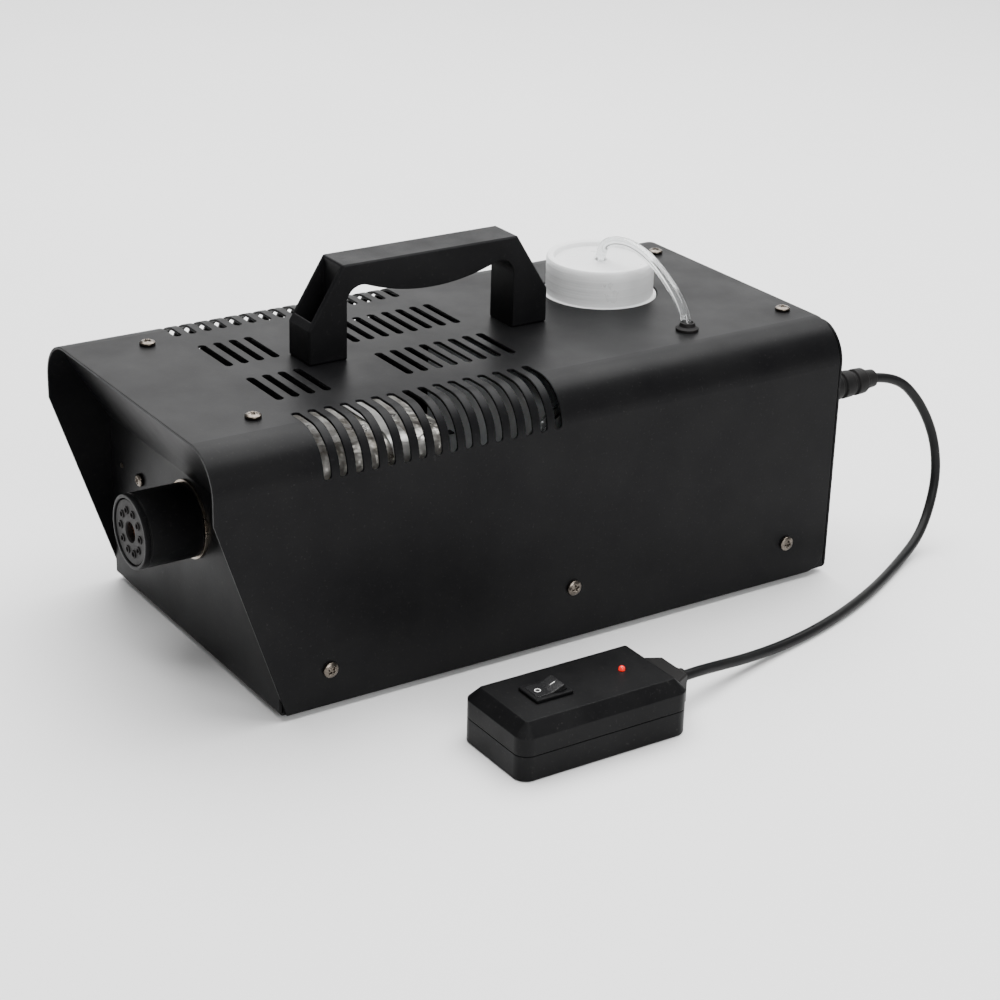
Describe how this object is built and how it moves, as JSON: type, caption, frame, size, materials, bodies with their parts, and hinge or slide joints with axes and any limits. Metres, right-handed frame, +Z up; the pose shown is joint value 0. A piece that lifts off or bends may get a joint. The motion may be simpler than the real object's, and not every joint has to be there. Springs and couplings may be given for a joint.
{
  "type": "fog machine",
  "caption": "Portable fog machine with a vented steel housing, front nozzle, carrying handle, bottle cap and wired remote.",
  "frame": {"origin": "on the standing surface, under the middle of the housing", "axes": "-Y out of the nozzle, +X towards the side the remote lies on, +Z up"},
  "size_m": [0.2753, 0.4257, 0.1788],
  "materials": {
    "painted_steel": "satin",
    "painted_tray": "satin",
    "rubber": "matte",
    "screw": "dark nickel plate",
    "handle_plastic": "textured",
    "tank_plastic": "translucent",
    "bare_steel": "zinc plate",
    "foam": "foam",
    "clear_hose": "clear silicone",
    "brass": "satin",
    "coil": "moulded",
    "cast_aluminium": "cast",
    "insulation": "glass cloth",
    "ceramic": "ceramic",
    "dark_plastic": "satin",
    "copper": "drawn copper",
    "glass": "clear",
    "lead": "silicone sleeve",
    "cable": "satin",
    "gloss_black": "gloss",
    "led": "diffused lens"
  },
  "bodies": {
    "housing": {"cover": "painted_steel", "base_tray": "painted_tray", "rubber_feet": "rubber", "top_cover_screws": "screw", "side_cover_screws": "screw", "front_panel_screws": "screw", "panel_rivets": "screw", "handle": "handle_plastic", "handle_screws": "screw", "fluid_tank": "tank_plastic", "tank_strap": "bare_steel", "hose_grommet": "rubber", "feed_hose": "clear_hose", "pump_body": "brass", "pump_coil": "coil", "pump_yoke": "bare_steel", "pump_spring": "bare_steel", "pump_outlet": "brass", "pump_bracket": "bare_steel", "heater_block": "cast_aluminium", "heater_wrap": "insulation", "wrap_straps": "bare_steel", "heater_brackets": "bare_steel", "bracket_screws": "screw", "heater_terminals": "ceramic", "thermostat": "dark_plastic", "thermal_fuse": "ceramic", "nozzle_shroud": "dark_plastic", "nozzle_ring": "bare_steel", "nozzle_face": "cast_aluminium", "nozzle_jet": "brass", "feed_pipe": "copper", "mains_inlet": "dark_plastic", "inlet_pins": "brass", "inlet_screws": "screw", "terminal_block": "ceramic", "fuse_holder": "dark_plastic", "glass_fuse": "glass", "mains_leads": "lead", "heater_leads": "lead", "pump_lead": "lead", "remote_lead": "lead", "cable_relief": "dark_plastic", "remote_cable": "cable", "remote_bottom_shell": "dark_plastic", "remote_top_shell": "dark_plastic", "rocker_frame": "dark_plastic", "rocker_terminals": "brass", "remote_led": "led", "remote_screws": "screw", "remote_relief": "rubber"},
    "cap_lift": {"cap_seal": "foam", "dip_tube": "clear_hose", "intake_hose": "clear_hose"},
    "filler_cap": {"filler_cap": "tank_plastic"},
    "plunger": {"pump_plunger": "bare_steel"},
    "rocker": {"remote_rocker": "gloss_black"}
  },
  "joints": [
    {"name": "cap_rise", "type": "slide", "parent": "housing", "child": "cap_lift", "axis": [0, 0, 1], "range_m": [0, 0.003]},
    {"name": "cap_turn", "type": "hinge", "parent": "cap_lift", "child": "filler_cap", "pos_m": [-0.016, 0.097, 0.14], "axis": [0, 0, 1], "range_deg": [0, 360]},
    {"name": "pump_stroke", "type": "slide", "parent": "housing", "child": "plunger", "axis": [0, -1, 0], "range_m": [0, 0.003], "stiffness_N_per_m": 300, "springref_m": -0.001, "deforming": ["pump_spring"]},
    {"name": "rocker_press", "type": "hinge", "parent": "housing", "child": "rocker", "pos_m": [0.162, -0.0516, 0.0261], "axis": [-1, 0, 0], "range_deg": [0, 22]}
  ],
  "couplings": [
    {"joint": "cap_turn", "follows": "cap_rise", "rad_per_m": 2094}
  ]
}
